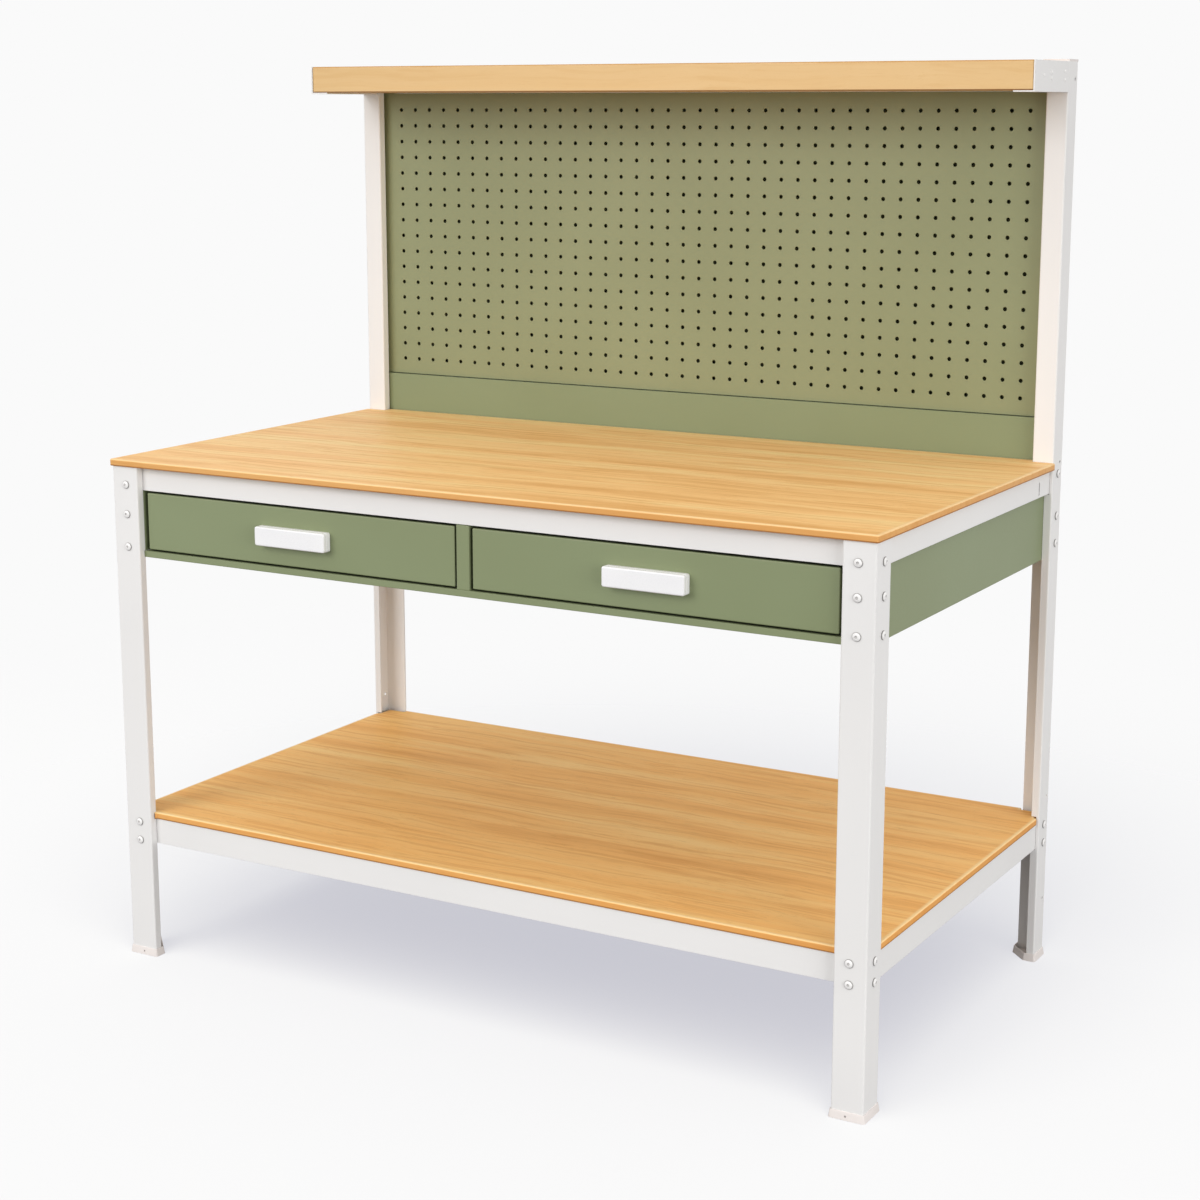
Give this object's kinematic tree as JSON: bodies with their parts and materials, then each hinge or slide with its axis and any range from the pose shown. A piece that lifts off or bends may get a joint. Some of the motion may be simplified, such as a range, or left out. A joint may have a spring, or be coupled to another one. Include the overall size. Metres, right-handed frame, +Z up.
{
  "type": "workbench",
  "caption": "Steel-framed workbench with a wooden worktop, lower shelf, side-by-side drawers, a perforated tool panel behind and a wooden top board on uprights.",
  "frame": {"origin": "on the floor, in the middle of the bench's width and depth", "axes": "+Z up, +X to the right of a person at the bench, +Y away from that person, towards the pegboard"},
  "size_m": [1.2, 0.68, 1.315],
  "materials": {
    "frame_white": "satin powder coat, warm white",
    "sage_green": "satin powder coat, sage green",
    "peg_green": "satin powder coat, yellowish sage green",
    "worktop_wood": "clear satin lacquer, honey wood with grain along X",
    "top_wood": "clear satin lacquer, light wood with grain along X",
    "handle_white": "smooth white",
    "foot_white": "matte warm white",
    "bolt_white": "white painted heads",
    "zinc_steel": "bright zinc plate"
  },
  "bodies": {
    "bench": {"bracket_screws": "bolt_white", "case_back": "sage_green", "case_bottom_rail": "sage_green", "case_divider": "sage_green", "case_floor": "sage_green", "case_left_side": "sage_green", "case_right_side": "sage_green", "frame_bolts": "bolt_white", "frame_nuts": "zinc_steel", "front_left_foot": "foot_white", "front_left_leg": "frame_white", "front_right_foot": "foot_white", "front_right_leg": "frame_white", "left_drawer_left_cabinet_slide": "zinc_steel", "left_drawer_right_cabinet_slide": "zinc_steel", "left_end_bracket": "frame_white", "left_upright_cap": "foot_white", "lower_back_panel": "sage_green", "panel_screws": "bolt_white", "pegboard_back_pan": "peg_green", "pegboard_panel": "peg_green", "rear_left_foot": "foot_white", "rear_left_upright": "frame_white", "rear_right_foot": "foot_white", "rear_right_upright": "frame_white", "right_drawer_left_cabinet_slide": "zinc_steel", "right_drawer_right_cabinet_slide": "zinc_steel", "right_end_bracket": "frame_white", "right_upright_cap": "foot_white", "shelf_board": "worktop_wood", "shelf_crossbar": "frame_white", "shelf_front_rail": "frame_white", "shelf_left_rail": "frame_white", "shelf_rear_rail": "frame_white", "shelf_right_rail": "frame_white", "top_board": "top_wood", "worktop_board": "worktop_wood", "worktop_crossbar": "frame_white", "worktop_front_rail": "frame_white", "worktop_left_rail": "frame_white", "worktop_rear_rail": "frame_white", "worktop_right_rail": "frame_white"},
    "left_drawer": {"left_drawer_front": "sage_green", "left_drawer_handle": "handle_white", "left_drawer_left_inner_slide": "zinc_steel", "left_drawer_right_inner_slide": "zinc_steel", "left_drawer_tray": "sage_green", "left_handle_screws": "zinc_steel"},
    "right_drawer": {"right_drawer_front": "sage_green", "right_drawer_handle": "handle_white", "right_drawer_left_inner_slide": "zinc_steel", "right_drawer_right_inner_slide": "zinc_steel", "right_drawer_tray": "sage_green", "right_handle_screws": "zinc_steel"},
    "left_middle_slides": {"left_drawer_left_middle_slide": "zinc_steel", "left_drawer_right_middle_slide": "zinc_steel"},
    "right_middle_slides": {"right_drawer_left_middle_slide": "zinc_steel", "right_drawer_right_middle_slide": "zinc_steel"}
  },
  "joints": [
    {"name": "left_drawer_slide", "type": "slide", "parent": "bench", "child": "left_drawer", "axis": [0, -1, 0], "range_m": [0, 0.4]},
    {"name": "left_middle_slide", "type": "slide", "parent": "bench", "child": "left_middle_slides", "axis": [0, -1, 0], "range_m": [0, 0.2]},
    {"name": "right_drawer_slide", "type": "slide", "parent": "bench", "child": "right_drawer", "axis": [0, -1, 0], "range_m": [0, 0.4]},
    {"name": "right_middle_slide", "type": "slide", "parent": "bench", "child": "right_middle_slides", "axis": [0, -1, 0], "range_m": [0, 0.2]}
  ],
  "couplings": [
    {"joint": "left_middle_slide", "follows": "left_drawer_slide", "ratio": 0.5},
    {"joint": "right_middle_slide", "follows": "right_drawer_slide", "ratio": 0.5}
  ]
}
